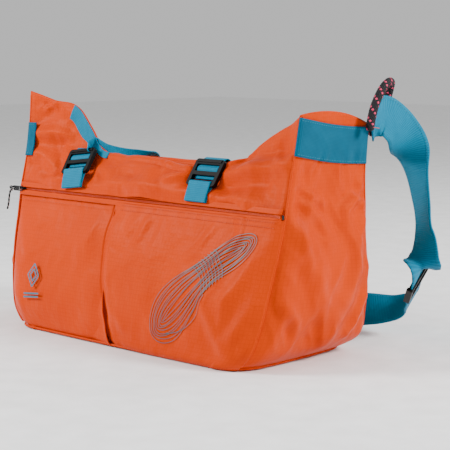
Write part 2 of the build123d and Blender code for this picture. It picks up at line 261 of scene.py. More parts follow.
# %% Ripstop nylon
def ripstop_nylon(name, light, dark, grid_dark):
    material, shader = finish_material(name, 0.42, Specular_IOR_Level=0.11,
                                       Specular_Tint=(1.0, 0.16, 0.01, 1.0))
    uv = millimetres(material)
    grid_x = maths(material, "POWER", bands(material, uv, 5.0, "X"), 10.0)
    grid_y = maths(material, "POWER", bands(material, uv, 5.0, "Y"), 10.0)
    rip = maths(material, "MAXIMUM", grid_x, grid_y)
    weave = maths(material, "MULTIPLY", *(bands(material, uv, 0.9, axis) for axis in "XY"))
    cloud = flat_noise(material, 60, 4.0, Roughness=0.55)
    base = mixed(material, cloud, colour(dark), colour(light))
    faint_grid = maths(material, "MULTIPLY", rip, 0.14)
    connect(material, mixed(material, faint_grid, base, colour(grid_dark)), shader, "Base Color")
    crumple = flat_noise(material, 34, 3.0, {"noise_type": "RIDGED_MULTIFRACTAL"},
                         Roughness=0.5, Distortion=0.7)
    crumpled = bumped(material, crumple, 0.5, 0.0012)
    softened = bumped(material, flat_noise(material, 16, 2.0), 0.6, 0.0016, Normal=crumpled)
    height = maths(material, "ADD", maths(material, "MULTIPLY", weave, 0.25), rip)
    woven = bumped(material, height, 0.5, 0.00012, Normal=softened)
    connect(material, woven, shader, "Normal")
    return material


ORANGE_NYLON = ripstop_nylon("coated_ripstop_nylon", "#C63A00", "#BA3400", "#8E2400")


# %% [markdown]
# ## Webbing, rope, thread and plastic
# Polyester webbing has thick ribs across and fine ones along, drawn at 2.4 mm so that they show.
# The rope's cover is a braid: two sets of strands wind round it in opposite ways, and two coloured
# strands come up between black ones at every other crossing. Its UV map is turns and millimetres,
# and the two helices are sums of those. Buckles are acetal, moulded with a fine spark-etched grain.

# %% Webbing
def woven_webbing(name, light, dark):
    material, shader = finish_material(name, 0.6, Specular_IOR_Level=0.2,
                                       Specular_Tint=(0.02, 0.55, 0.9, 1.0),
                                       Sheen_Weight=0.03, Sheen_Roughness=0.4)
    uv = millimetres(material)
    ribs, rows = bands(material, uv, 2.4, "X"), bands(material, uv, 1.6, "Y")
    rows = maths(material, "ADD", maths(material, "MULTIPLY", rows, 0.6), 0.4)
    weave = maths(material, "MULTIPLY", ribs, rows)
    share = maths(material, "ADD", maths(material, "MULTIPLY", weave, 0.55),
                  maths(material, "MULTIPLY", flat_noise(material, 22, 3.0), 0.45))
    connect(material, mixed(material, share, colour(dark), colour(light)), shader, "Base Color")
    connect(material, bumped(material, weave, 0.8, 0.0004), shader, "Normal")
    return material


TEAL_WEBBING = woven_webbing("polyester_webbing", "#0A80A0", "#045C78")
BAND_WEBBING = woven_webbing("polyester_band_webbing", "#0C6480", "#063C50")


# %% Braided cord, thread, plastic, zipper metal and ink
def braided_cover(name, ground, fleck, cell, strands):
    material, shader = finish_material(name, 0.72, Specular_IOR_Level=0.3)
    split = add_node(material, "SeparateXYZ", {}, {0: millimetres(material)})
    around = maths(material, "MULTIPLY", split.outputs[0], float(strands))
    along = maths(material, "DIVIDE", split.outputs[1], cell)
    one, two = maths(material, "ADD", around, along), maths(material, "SUBTRACT", around, along)

    def chosen(helix, every, which):
        """1 on one strand of a helix in every so many, 0 on the others."""
        number = maths(material, "FLOORED_MODULO", maths(material, "FLOOR", helix), every)
        return maths(material, "COMPARE", number, which, 0.1)

    flecks = maths(material, "MULTIPLY", chosen(one, 4.0, 1.0), chosen(two, 2.0, 0.0))
    connect(material, mixed(material, flecks, colour(ground), colour(fleck)), shader, "Base Color")
    ridges = [maths(material, "ABSOLUTE",
                    maths(material, "SINE", maths(material, "MULTIPLY", helix, math.pi)))
              for helix in (one, two)]
    connect(material, bumped(material, maths(material, "MULTIPLY", *ridges), 0.9, 0.0005),
            shader, "Normal")
    return material


def plain_finish(name, code, roughness, grain, depth, **sockets):
    """One colour with a little variation and a fine noise bump. Grain and depth are millimetres."""
    material, shader = finish_material(name, roughness, **sockets)
    place = add_node(material, "TexCoord", {}, {}).outputs["Object"]
    noise = add_node(material, "TexNoise", {}, {"Vector": place, "Scale": 1000 / grain,
                                                "Detail": 3.0}).outputs["Fac"]
    red_green_blue = np.array(colour(code)[:3])
    darker, lighter = ((*np.minimum(red_green_blue * k, top).tolist(), 1.0)
                       for k, top in ((0.85, np.inf), (1.15, 1.0)))
    connect(material, mixed(material, noise, darker, lighter), shader, "Base Color")
    connect(material, bumped(material, noise, 0.5, depth * MM), shader, "Normal")
    return material


ROPE_COVER = braided_cover("braided_rope_cover", "#0C0B10", "#C8305A", 3.4, 8)
PULL_COVER = braided_cover("braided_pull_cord", "#17171A", "#D8D8D6", 1.5, 4)
MOULDED_ACETAL = plain_finish("moulded_acetal", "#050606", 0.42, 0.5, 0.05, Specular_IOR_Level=0.14)
BLACK_ENAMEL = plain_finish("enamelled_zinc", "#0A0B0C", 0.3, 0.8, 0.02, Specular_IOR_Level=0.25)
ORANGE_THREAD = plain_finish("bonded_orange_thread", "#B83800", 0.6, 0.4, 0.05)
TEAL_THREAD = plain_finish("bonded_teal_thread", "#10708C", 0.6, 0.4, 0.05)
COIL_NYLON = plain_finish("coil_monofilament", "#D84400", 0.4, 0.6, 0.02)
PRINT_INK = plain_finish("screen_print_ink", "#43484A", 0.55, 0.7, 0.02)
MARK_INK = plain_finish("screen_print_mark_ink", "#2C5A6C", 0.55, 0.7, 0.02)
FLOOR_FINISH = plain_finish("matt_studio_board", "#F4F4F3", 0.9, 40.0, 0.0)


def wear(piece, material):
    """Give a piece its finish."""
    piece.data.materials.clear()
    piece.data.materials.append(material)


def bag_piece(piece, material, slot_name, *nodes, body="bag"):
    """Give a piece its finish and its body, and hide the CAD nodes it stands for. The slot_name argument is
    not used.
    """
    wear(piece, material)
    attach(piece, body)
    if nodes:
        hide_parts(*nodes)
    return piece


wear(floor, FLOOR_FINISH)
print("finishes:", len(bpy.data.materials))

# %% [markdown]
# ## Free cords
# The rope loop and the zipper's cord are each one smooth line, a NURBS curve through given
# control points. A round bevel would give a plain pipe, so instead a tube is carried along points
# read from that curve, with two twists of strands pressed into its surface.

# %% Rope loop and pull cord
def nurbs_points(route, name):
    """Points along an open NURBS curve of order 3 whose control points are route, in metres."""
    curve = bpy.data.curves.new(name, "CURVE")
    curve.dimensions = "3D"
    spline = curve.splines.new("NURBS")
    spline.points.add(len(route) - 1)
    spline.points.foreach_set("co", np.c_[np.array(route), np.ones(len(route))].ravel())
    spline.order_u = 3
    spline.use_endpoint_u = True
    spline.resolution_u = 24
    holder = bpy.data.objects.new(name, curve)
    bpy.context.scene.collection.objects.link(holder)
    mesh = bpy.data.meshes.new_from_object(holder)
    points = np.empty(len(mesh.vertices) * 3)
    mesh.vertices.foreach_get("co", points)
    bpy.data.objects.remove(holder)
    return points.reshape(-1, 3)


def frames_along(line):
    """Directions along a line and across it. Both across directions come from one fixed axis, the
    one that the line's directions lie furthest from, so they never spin."""
    ahead = unit(np.gradient(line, axis=0))
    axis = np.linalg.svd(ahead, full_matrices=False)[2][-1]
    side = unit(axis - ahead * (ahead @ axis)[:, None])
    return ahead, side, np.cross(ahead, side)


def round_cord(name, line, radius, cell, strands, closed=False, ring=20):
    """A tube round a line in millimetres. Its radius swells where two opposite helices of strands
    cross: one plus a small share of the product of their sines. Open ends are rounded off."""
    length = distances(line)
    steps = np.linspace(0, length[-1], max(8, int(length[-1] / (0.16 * radius))))
    line = sampled(steps, length, line)
    ahead, side, other = frames_along(line)
    if closed:
        line, ahead, side, other = line[:-1], ahead[:-1], side[:-1], other[:-1]
        steps = steps[:-1]
    turn = np.linspace(0, 1, ring, endpoint=False)[None, :]
    one = strands * turn + steps[:, None] / cell
    two = strands * turn - steps[:, None] / cell
    size = radius * (0.955 + 0.045 * np.abs(np.sin(math.pi * one) * np.sin(math.pi * two)) * 2)
    if not closed:
        near = np.clip(np.minimum(steps, steps[-1] - steps) / (0.7 * radius), 0, 1)
        size = size * np.sqrt(np.maximum(1 - (1 - near) ** 2, 0.0004))[:, None]
    angle = 2 * math.pi * turn
    points = line[:, None] + size[..., None] * (side[:, None] * np.cos(angle)[..., None]
                                                 + other[:, None] * np.sin(angle)[..., None])
    uv = np.stack(np.broadcast_arrays(turn, steps[:, None]), -1)
    return grid_mesh(name, points[:, ::-1], uv[:, ::-1], closed_u=closed, closed_v=True)


def length_of(line):
    return float(np.linalg.norm(np.diff(line, axis=0), axis=1).sum())


ROPE_ROUTE = ((0.275, 0.057, 0.284), (0.275, 0.061, 0.304), (0.275, 0.071, 0.323),
              (0.273, 0.086, 0.338), (0.269, 0.103, 0.344), (0.260, 0.116, 0.340),
              (0.252, 0.120, 0.325), (0.249, 0.115, 0.306), (0.249, 0.103, 0.289),
              (0.249, 0.090, 0.276))
rope_line = nurbs_points(ROPE_ROUTE, "rope_route")
rope = round_cord("grab_rope_braid", rope_line / MM, 5.25, 3.4, 8, ring=40)
bag_piece(rope, ROPE_COVER, "rope", "grab_rope")

PULL_ROUTE = ((-0.2626, -0.0774, 0.1875), (-0.2675, -0.0778, 0.1850), (-0.2694, -0.0790, 0.1785),
              (-0.2682, -0.0810, 0.1710), (-0.2672, -0.0828, 0.1635), (-0.2680, -0.0844, 0.1565))
pull_line = nurbs_points(PULL_ROUTE, "pull_route")
pull_cord = round_cord("pull_cord_braid", pull_line / MM, 1.3, 1.5, 4)
bag_piece(pull_cord, PULL_COVER, "pull_cord", "zipper_pull_cord", body="zipper_pull")

turn = np.linspace(0, 2 * math.pi, 160)[:, None]
TAB_HOLE = np.array(PULL_ROUTE[0]) / MM + (2.2, 0, -0.5)
loop_line = TAB_HOLE + 2.5 * np.concatenate([np.cos(turn), np.sin(turn), 0 * turn], 1)
pull_loop = round_cord("pull_cord_loop", loop_line, 1.0, 1.5, 4, closed=True, ring=14)
knot_line = np.array(PULL_ROUTE[0]) / MM + (-2.6, -0.3, -0.6) + 1.15 * np.concatenate(
    [np.sin(turn) + 2 * np.sin(2 * turn), 0.9 * np.sin(3 * turn), np.cos(turn) - 2 * np.cos(2 * turn)], 1)
pull_knot = round_cord("pull_cord_knot", knot_line, 1.15, 1.5, 4, closed=True, ring=14)
for piece in (pull_loop, pull_knot):
    bag_piece(piece, PULL_COVER, "pull_cord", body="zipper_pull")
print("rope", round(length_of(rope_line), 4), "pull cord", round(length_of(pull_line), 4))


# %% [markdown]
# ## The shape of soft cloth
# A filled nylon bag has three kinds of relief: broad soft swells, sharp creases that run from a
# seam or a strap, and a fine crumple all over. Each is a function of the place on the panel, and
# a panel adds them up and moves its points along its own normals.

# %% Smooth lines and cloth relief
def smooth_line(x, xs, ys):
    """A smooth line through the points (xs, ys): cubic pieces that share slopes at the points."""
    xs, ys = np.asarray(xs, float), np.asarray(ys, float)
    slopes = np.gradient(ys, xs)
    x = np.clip(x, xs[0], xs[-1])
    k = np.clip(np.searchsorted(xs, x) - 1, 0, len(xs) - 2)
    span = xs[k + 1] - xs[k]
    t = (x - xs[k]) / span
    return ((2 * t**3 - 3 * t**2 + 1) * ys[k] + (t**3 - 2 * t**2 + t) * span * slopes[k]
            + (3 * t**2 - 2 * t**3) * ys[k + 1] + (t**3 - t**2) * span * slopes[k + 1])


def smooth_step(x, low, high):
    """Rises from 0 at low to 1 at high with level ends."""
    t = np.clip((x - low) / (high - low), 0, 1)
    return t * t * (3 - 2 * t)


def waves(a, b, size, seed, angle=0.0, stretch=1.0):
    """Soft noise, about -1 to 1: fourteen sine waves of about the given size that cross at random
    angles, drawn out by stretch along the direction angle (degrees)."""
    chance = np.random.default_rng(seed)
    turn = math.radians(angle)
    along = (a * math.cos(turn) + b * math.sin(turn)) / stretch
    across = b * math.cos(turn) - a * math.sin(turn)
    total = 0.0
    for _ in range(14):
        way = chance.uniform(0, math.pi)
        number = 2 * math.pi / (size * chance.uniform(0.75, 1.7))
        total = total + np.sin(number * (along * math.cos(way) + across * math.sin(way))
                               + chance.uniform(0, 2 * math.pi))
    return total / 3.7


def creases(a, b, size, seed, angle=0.0, stretch=1.0):
    """Crumple with sharp ridges: one minus the size of soft noise, so its zero lines stand up."""
    noise = waves(a, b, size, seed, angle, stretch)
    return 0.55 - np.sqrt(noise * noise + 0.012)


def fold(a, b, start, end, width, height, bow=0.0):
    """One fold from start to end: a rounded ridge of the given height with a shallow valley on one
    side, fading out at both ends and bowed sideways by bow in the middle."""
    (a0, b0), (a1, b1) = start, end
    length = math.hypot(a1 - a0, b1 - b0)
    along_a, along_b = (a1 - a0) / length, (b1 - b0) / length
    along = ((a - a0) * along_a + (b - b0) * along_b) / length
    across = (b - b0) * along_a - (a - a0) * along_b
    across = across - bow * 4 * np.clip(along, 0, 1) * (1 - np.clip(along, 0, 1))
    fade = smooth_step(along, -0.05, 0.22) * (1 - smooth_step(along, 0.7, 1.05))
    ridge = np.exp(-(across / width) ** 2)
    valley = np.exp(-((across + 1.7 * width) / (1.2 * width)) ** 2)
    return height * fade * (ridge - 0.6 * valley)


def fold_sum(a, b, rows):
    """The sum of several folds, each given as its start, end, width, height and bow."""
    return sum(fold(a, b, *row) for row in rows)


# %% [markdown]
# ## The bag's outline
# The four walls share their corner lines. At any height the outline is a four-sided loop whose
# corners are rounded by a curve, widely near the base, where the bag is filled, and tightly at the
# top, where a seam holds the corner. The foot of each wall turns under to meet the base.

# %% Walls as a function of place along the wall and height
ZIP_Z = 1000 * (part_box("zipper_coil")[0][2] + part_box("zipper_coil")[1][2]) / 2
LEVELS = (0.0, 22.0, 55.0, 100.0, ZIP_Z, 250.0, 326.0)
CORNER_LINES = (
    ((-219, -238, -248, -254, -256, -257, -266), (-113, -112, -108, -98, -74, -56, -44)),
    ((217, 237, 247, 252, 254, 251, 262), (-114, -112, -105, -94, -70, -54, -46)),
    ((217, 236, 246, 251, 254, 253, 264), (114, 112, 108, 101, 82, 79, 80)),
    ((-217, -236, -246, -252, -256, -257, -264), (114, 112, 108, 100, 78, 24, 2)),
)
ROUNDING = ((0, 60, 150, 187, 250, 326), (46, 42, 26, 15, 8, 6))
SOLE_RADIUS = (11.0, 12.0, 36.0, 30.0)
SIDES = {"front": 0, "right": 1, "back": 2, "left": 3}
MIDDLE_PULL = {
    "front": ((0, ZIP_Z, 250, 326), (3, 0, -27, -25)),
    "back": ((0, ZIP_Z, 250, 326), (3, 4, -22, -20)),
    "right": ((0, 100, 200, 250, 326), (5, 8, 5, 3, 2)),
    "left": ((0, 100, 200, 250, 326), (5, 8, 5, 3, 2)),
}


def corner_line(index, z):
    xs, ys = CORNER_LINES[index % 4]
    return np.stack([smooth_line(z, LEVELS, xs), smooth_line(z, LEVELS, ys)], -1)


def wall(side, u, z):
    """Points of a wall at height z: u runs from -1 to 1 between the seams at the middles of its two
    corners. A corner is half a parabola on each side, the stretch between is straight, its middle
    is pulled in or out by a parabola, and the foot turns under by a quarter circle."""
    k = SIDES[side]
    sole = SOLE_RADIUS[k] + (SOLE_RADIUS[(k + 1) % 4] - SOLE_RADIUS[k]) * (u + 1) / 2
    below = np.clip(sole - z, 0, sole)
    inset = (sole - np.sqrt(sole**2 - below**2))[..., None]
    a, b = corner_line(k, z), corner_line(k + 1, z)
    before, after = corner_line(k - 1, z), corner_line(k + 2, z)
    ahead, incoming, outgoing = unit(b - a), unit(a - before), unit(after - b)
    radius = np.interp(z, *ROUNDING)[..., None]
    arc = 0.81 * radius
    length = np.linalg.norm(b - a, axis=-1, keepdims=True) - 2 * radius
    place = (u[..., None] + 1) / 2 * (length + 2 * arc)
    t = 0.5 + 0.5 * np.clip(place / arc, 0, 1)
    first = (1 - t) ** 2 * (a - incoming * radius) + 2 * t * (1 - t) * a \
        + t**2 * (a + ahead * radius)
    t = 0.5 * np.clip((place - length - arc) / arc, 0, 1)
    last = (1 - t) ** 2 * (b - ahead * radius) + 2 * t * (1 - t) * b \
        + t**2 * (b + outgoing * radius)
    straight = a + ahead * (radius + place - arc)
    plan = np.where(place < arc, first, np.where(place > length + arc, last, straight))
    outward = np.stack([ahead[..., 1], -ahead[..., 0]], -1)
    pull = np.interp(z, *MIDDLE_PULL[side]) * (1 - u**2)
    centre_ward = unit(first * (place < arc) + last * (place > length + arc)
                       + (place >= arc) * (place <= length + arc) * outward)
    plan = plan + outward * pull[..., None] - centre_ward * inset
    return np.concatenate([plan, z[..., None]], -1)


def normals(points):
    """Unit normals of a grid, from the cross product of its two directions."""
    across = np.gradient(points, axis=0)
    up = np.gradient(points, axis=1)
    return unit(np.cross(across, up) + 1e-9)


def raised(points, relief):
    """Move a grid along its normals."""
    return points + normals(points) * np.asarray(relief)[..., None]


def grid(rows, columns, low=-1.0, high=1.0):
    """Two arrays: u from low to high down the rows and v from 0 to 1 along the columns."""
    return np.meshgrid(np.linspace(low, high, rows), np.linspace(0, 1, columns), indexing="ij")


# %% [markdown]
# ## Front wall and pocket
# The pocket is two panels of the same nylon, sewn to the front wall at the foot, the sides and the
# zipper, that meet in a slanting pleat. Both lie on one surface, so the front wall, the panels
# and the print share a single relief function, and each takes its own height above it.

# %% Relief of the front below the zipper
PLEAT_TOP = (-43.0, 178.0)
PLEAT_FOOT = (-10.0, 5.0)
POCKET_LIFT = 2.6


def pleat_x(z):
    """Where the pleat runs at height z, bowing a little to the left in the middle."""
    share = (z - PLEAT_FOOT[1]) / (PLEAT_TOP[1] - PLEAT_FOOT[1])
    return PLEAT_FOOT[0] + (PLEAT_TOP[0] - PLEAT_FOOT[0]) * share - 15 * np.sin(math.pi * share)


def front_relief(x, z):
    """Height of the front's cloth above its plain outline, in millimetres."""
    edge = smooth_step(250 - np.abs(x), 0, 60) * smooth_step(z, 4, 34)
    top = smooth_step(183 - z, 0, 26)
    swell = 7.0 * edge * np.sin(np.clip(z, 0, 185) / 185 * math.pi)
    swell = swell - 5.0 * np.exp(-((x - pleat_x(z)) / 26) ** 2) * top
    soft = 2.0 * waves(x, z, 120, 11, 30, 1.5) + 1.0 * waves(x, z, 52, 12, 60, 1.8)
    fine = 0.5 * creases(x, z, 34, 13, 75, 2.2)
    corner = smooth_step(x, 120, 235)
    folds = fold_sum(x, z, (
        ((150, 178), (108, 120), 7, 2.0, 6), ((196, 176), (150, 108), 8, 2.6, 8),
        ((228, 150), (176, 66), 9, 3.4, 8), ((240, 108), (196, 30), 8, 3.6, 6),
        ((150, 92), (208, 12), 9, 2.4, -6), ((243, 64), (214, 14), 6, 2.8, 3),
        ((30, 176), (12, 128), 6, 1.4, 4), ((-30, 60), (24, 22), 8, 1.6, 4),
        ((-236, 160), (-196, 96), 8, 2.0, -6), ((-240, 60), (-190, 20), 8, 2.0, 5),
        ((-70, 172), (-86, 118), 6, 1.2, 3)))
    puckers = 0.7 * np.sin(x / 4.6 + 1.5 * waves(x, z, 60, 15)) * smooth_step(z, 160, 178) * \
        (0.35 + 0.65 * waves(x, z, 90, 16) ** 2)
    crumple = 0.5 * creases(x, z, 44, 17, 120, 1.8) * corner
    return swell + (soft + folds) * edge * top + (fine + crumple) * edge * top + puckers * edge


def front_place(u, z, lift):
    """Points of the front's cloth at u and z, standing lift above the shared surface."""
    base = wall("front", u, z)
    return raised(base, front_relief(base[..., 0], base[..., 2]) + lift)


def u_of_x(x, z):
    """The u on the front wall that lies nearest to a given x."""
    half = smooth_line(z, LEVELS, CORNER_LINES[1][0])
    return x / (half + 0.1 * np.interp(z, *ROUNDING))


# %% Front wall and the pocket's two panels
u, v = grid(150, 60)
height = v**1.3 * (ZIP_Z + 6)
front_wall = grid_mesh("front_wall_cloth", front_place(u, height, -1.4),
                       np.stack([u * 240, height], -1))
thicken(front_wall, 0.8)
bag_piece(front_wall, ORANGE_NYLON, "orange_nylon", "front_panel")

POCKET_TOP = ZIP_Z - 4.5
POCKET_FOOT = 3.0
for name, side in (("left", -1), ("right", 1)):
    share, v = grid(220, 110, 0.0, 1.0)
    height = POCKET_FOOT + v**1.2 * (POCKET_TOP - POCKET_FOOT)
    inner = u_of_x(pleat_x(height) + side * 0.8, height)
    u = inner + (side - inner) * share
    tuck = -3.4 * np.exp(-(share * 240 / 5.5) ** 2) * smooth_step(POCKET_TOP - height, 2, 14) \
        * smooth_step(height, 4, 26)
    roll = (1.4 + 0.8 * side) * np.exp(-((share * 240 - 12) / 8) ** 2) \
        * smooth_step(POCKET_TOP - height, 0, 40)
    points = front_place(u, height, POCKET_LIFT + tuck + roll)
    uv = np.stack([u * 240, height], -1)
    if side < 0:
        points, uv = points[::-1], uv[::-1]
    panel = grid_mesh(f"pocket_{name}_cloth", points, uv)
    thicken(panel, 0.9)
    bag_piece(panel, ORANGE_NYLON, "orange_nylon", f"pocket_panel_{name}")

across, v = grid(8, 60)
height = POCKET_FOOT + 2 + v * (POCKET_TOP - POCKET_FOOT - 3)
pleat = grid_mesh("pleat_cloth", front_place(u_of_x(pleat_x(height) + across * 6.0, height),
                                             height, 0.6 - 2.6 * (1 - across**2)
                                             * smooth_step(height, 4, 26)),
                  np.stack([across * 4, height], -1))
thicken(pleat, 0.6)
bag_piece(pleat, ORANGE_NYLON, "orange_nylon", "pocket_pleat")

# %% [markdown]
# ## End walls
# The end walls carry the most relief: cloth is drawn from the wide band at the top to the filled
# corners at the foot, so long slack folds run down from the seams and cross in the middle.

# %% Relief of the end walls
END_RIM = {"right": (306.0, 291.0), "left": (283.0, 279.0)}
COLLAR = {"right": 10.0, "left": 3.0}
BAND_FOOT = {"right": 262.0, "left": 236.0}


def end_relief(s, z, seed, band_foot):
    """Height of an end wall's cloth: s is the place across it from the front seam, 0 to 1. The
    stiff band holds the cloth flat above band_foot."""
    y = (s - 0.5) * np.interp(z, (0, ZIP_Z, 250), (228, 152, 130))
    edge = smooth_step(s, 0, 0.16) * smooth_step(1 - s, 0, 0.12)
    low = smooth_step(z, 4, 40)
    top = smooth_step(band_foot - z, 0, 24)
    swell = 5.0 * edge * low * np.exp(-((z - 95) / 80) ** 2)
    soft = 3.4 * waves(y, z, 95, seed, 70, 1.7) + 2.0 * waves(y, z, 46, seed + 1, 60, 2.0)
    sharp = 3.0 * creases(y, z, 50, seed + 2, 62, 2.4) + 1.3 * creases(y, z, 26, seed + 3, 110, 2.0)
    folds = fold_sum(y, z, (
        ((-66, 232), (8, 196), 6, 3.6, -5), ((-64, 214), (-4, 150), 8, 4.2, 9),
        ((70, 236), (18, 184), 9, 5.0, 8), ((76, 192), (34, 210), 6, 4.6, 4),
        ((-74, 190), (-40, 96), 9, 4.6, 7), ((-84, 150), (-72, 52), 9, 3.6, -5),
        ((22, 196), (44, 84), 11, 4.4, 9), ((-30, 168), (-6, 60), 12, 3.4, -9),
        ((-92, 92), (-46, 40), 8, 4.0, 6), ((80, 90), (40, 26), 10, 3.6, 8),
        ((-20, 74), (10, 14), 9, 2.4, 4)))
    puckers = 0.8 * np.sin(y / 3.4 + 1.2 * waves(y, z, 50, seed + 4)) \
        * np.exp(-((z - band_foot + 14) / 14) ** 2)
    return swell + (soft + folds + sharp) * edge * low * top + puckers * edge


def end_place(side, s, z, lift=0.0):
    """Points of an end wall's cloth at s and z, standing lift above it. Outside 0 to 1, s goes on
    round the corner onto the front or back wall. The rim leans in a little over the mouth."""
    outward = 1 if side == "right" else -1
    seed = 31 if side == "right" else 57
    inner = np.clip(s, 0, 1)
    past = 0.577 * (s - inner)
    base = wall(side, outward * (2 * inner - 1), z)
    if np.any(s < 0):
        base = np.where((s < 0)[..., None], wall("front", outward * (1 + past), z), base)
    if np.any(s > 1):
        base = np.where((s > 1)[..., None], wall("back", outward * (past - 1), z), base)
    points = raised(base, outward * (end_relief(inner, z, seed, BAND_FOOT[side]) + lift))
    return points - smooth_step(z, 255, 315)[..., None] * np.array([outward * 3.0, 0, 0])


# %% Right and left end walls
for side in ("right", "left"):
    s, v = grid(170, 190, 0.0, 1.0)
    front_top, back_top = END_RIM[side]
    height = v**1.3 * (front_top + (back_top - front_top) * s + COLLAR[side] * np.sin(math.pi * s) ** 0.8)
    points, uv = end_place(side, s, height), np.stack([s * 170, height], -1)
    if side == "left":
        points, uv = points[::-1], uv[::-1]
    panel = grid_mesh(f"{side}_end_cloth", points, uv)
    thicken(panel, 0.9)
    bag_piece(panel, ORANGE_NYLON, "orange_nylon", f"{side}_end_panel")

# %% [markdown]
# ## Yokes
# Above the zipper each long wall has a yoke that leans inwards, because the compression straps
# draw the two rims together. The rim is turned in and stands up as a horn at both ends. In the
# middle the slack cloth sags over the zipper in a soft roll.

# %% Rim lines and yoke relief
FRONT_RIM = ((-268, -262, -215, -162, -140, -122, -80, 0, 110, 150, 188, 222, 262),
             (324, 323, 311, 297, 272, 251, 241, 237, 234, 250, 274, 291, 307))
BACK_RIM = ((-268, -262, -242, -214, -180, -140, -110, 0, 110, 160, 210, 262),
            (280, 278, 264, 250, 241, 237, 236, 234, 232, 240, 264, 290))


def front_yoke_relief(x, z, rim):
    """Height of the front yoke's cloth: the roll over the zipper, the bent-in right horn and the
    folds that run from the buckles and the corners."""
    edge = smooth_step(258 - np.abs(x), 0, 26)
    roll_height = 9.0 + 2.2 * waves(x, 0 * x, 150, 71)
    roll = roll_height * np.exp(-((z - 201) / 9.5) ** 2) * smooth_step(252 - np.abs(x), 0, 90)
    hump = 9 * np.exp(-((z - 218) / 24) ** 2) * smooth_step(x, -128, -70) * \
        smooth_step(150 - x, 0, 60)
    ridge_z = smooth_line(x, (90, 124, 165, 210, 250), (236, 238, 243, 250, 258))
    bent = -10 * smooth_step(z, ridge_z - 2, ridge_z + 12) * smooth_step(x, 112, 150) * \
        smooth_step(262 - x, 4, 40)
    crown = 5 * np.exp(-((z - ridge_z + 9) / 9) ** 2) * smooth_step(x, 105, 140) * edge
    soft = 2.4 * waves(x, z, 80, 72, 10, 1.7) + 1.3 * waves(x, z, 38, 73, 20, 1.8)
    sharp = 1.7 * creases(x, z, 42, 74, 25, 2.2) + 0.7 * creases(x, z, 22, 75, 120, 1.8)
    folds = fold_sum(x, z, (
        ((-256, 262), (-168, 258), 9, 6.0, 5), ((-250, 236), (-176, 206), 8, 3.6, 8),
        ((-232, 314), (-208, 296), 4, 2.6, 2), ((-204, 311), (-236, 292), 4, 2.4, -2),
        ((-122, 240), (-88, 204), 6, 4.4, -6), ((-118, 224), (-60, 206), 7, 3.2, 5),
        ((-60, 228), (20, 214), 9, 2.8, 5), ((30, 212), (88, 228), 6, 4.4, -5),
        ((20, 222), (84, 242), 5, 2.6, 4), ((128, 222), (220, 236), 8, 3.0, 6),
        ((140, 204), (246, 214), 7, 2.2, 4), ((-190, 250), (-160, 212), 7, 3.0, 4),
        ((236, 250), (206, 262), 4, 2.0, 2)))
    quiet = smooth_step(rim - z, 0, 16)
    seats = sum(np.exp(-((x - middle) / 27) ** 4 - ((z - 227) / 17) ** 4) for middle in (106, -138))
    hump, soft, sharp, folds = ((1 - 0.92 * seats) * part for part in (hump, soft, sharp, folds))
    return roll - 1.5 * seats + hump + bent + crown \
        + (soft + sharp + folds) * edge * (0.35 + 0.65 * quiet)


def back_yoke_relief(x, z, rim):
    """Height of the back yoke's cloth: slack, with folds from the sewn ends of the straps."""
    edge = smooth_step(258 - np.abs(x), 0, 30)
    soft = 2.4 * waves(x, z, 85, 81, 10, 1.7) + 1.1 * waves(x, z, 40, 82, 160, 1.8)
    sharp = 1.0 * creases(x, z, 44, 83, 25, 2.2)
    folds = fold_sum(x, z, (((104, 226), (40, 196), 8, 3.4, 5), ((110, 224), (170, 196), 8, 3.4, 5)))
    return (soft + sharp + folds) * edge


def yoke(name, side, rim_line, relief):
    """A yoke from the zipper's height to its rim, then turned over inwards by a half circle that
    is wide in the saddle and tight on the horns, then down as a hem."""
    u, v = grid(300, 96)
    sign = 1 if side == "front" else -1
    x_guess = sign * u * 258
    rim = smooth_line(x_guess, *rim_line)
    curl = 2.2 + 5.5 * smooth_step(262 - rim, 0, 26)
    start = ZIP_Z + 2
    z = start + v * (rim - curl - start)
    base = wall(side, u, z)
    points = raised(base, relief(base[..., 0], base[..., 2], rim))
    inward = np.array([0, sign * 1.0, 0])
    edge_points, edge_curl = points[:, -1:, :], curl[:, -1:, None]
    angle = np.linspace(0, math.pi, 12)[None, 1:, None]
    over = edge_points + inward * edge_curl * (1 - np.cos(angle)) \
        + np.array([0, 0, 1.0]) * edge_curl * np.sin(angle)
    drop = np.linspace(0, 14, 6)[None, 1:, None]
    hem = over[:, -1:, :] - np.array([0, 0, 1.0]) * drop + inward * drop * 0.10
    sheet = np.concatenate([points, over, hem], 1)
    along = np.broadcast_to((sign * u[:, :1] * 258), sheet.shape[:2])
    up = np.cumsum(np.concatenate([np.zeros((sheet.shape[0], 1)),
                                   np.linalg.norm(np.diff(sheet, axis=1), axis=-1)], 1), 1)
    piece = grid_mesh(name, sheet, np.stack([along, ZIP_Z + up], -1))
    thicken(piece, 0.9)
    bag_piece(piece, ORANGE_NYLON, "orange_nylon", f"{side}_yoke")


yoke("front_yoke_cloth", "front", FRONT_RIM, front_yoke_relief)
yoke("back_yoke_cloth", "back", BACK_RIM, back_yoke_relief)

# %% Back wall and base
u, v = grid(200, 90)
height = v**1.3 * (ZIP_Z + 4)
base = wall("back", u, height)
x, z = base[..., 0], base[..., 2]
edge = smooth_step(1 - np.abs(u), 0, 0.16) * smooth_step(z, 4, 40) * smooth_step(ZIP_Z + 4 - z, 0, 20)
relief = edge * (7 * np.sin(np.clip(z, 0, 190) / 190 * math.pi) + 2.2 * waves(x, z, 110, 91, 80, 1.8)
                 + 1.2 * waves(x, z, 50, 92, 70, 2.0) + 1.0 * creases(x, z, 48, 93, 70, 2.4))
back_wall = grid_mesh("back_wall_cloth", raised(base, relief), np.stack([-u * 240, height], -1))
thicken(back_wall, 0.9)
bag_piece(back_wall, ORANGE_NYLON, "orange_nylon", "back_panel")

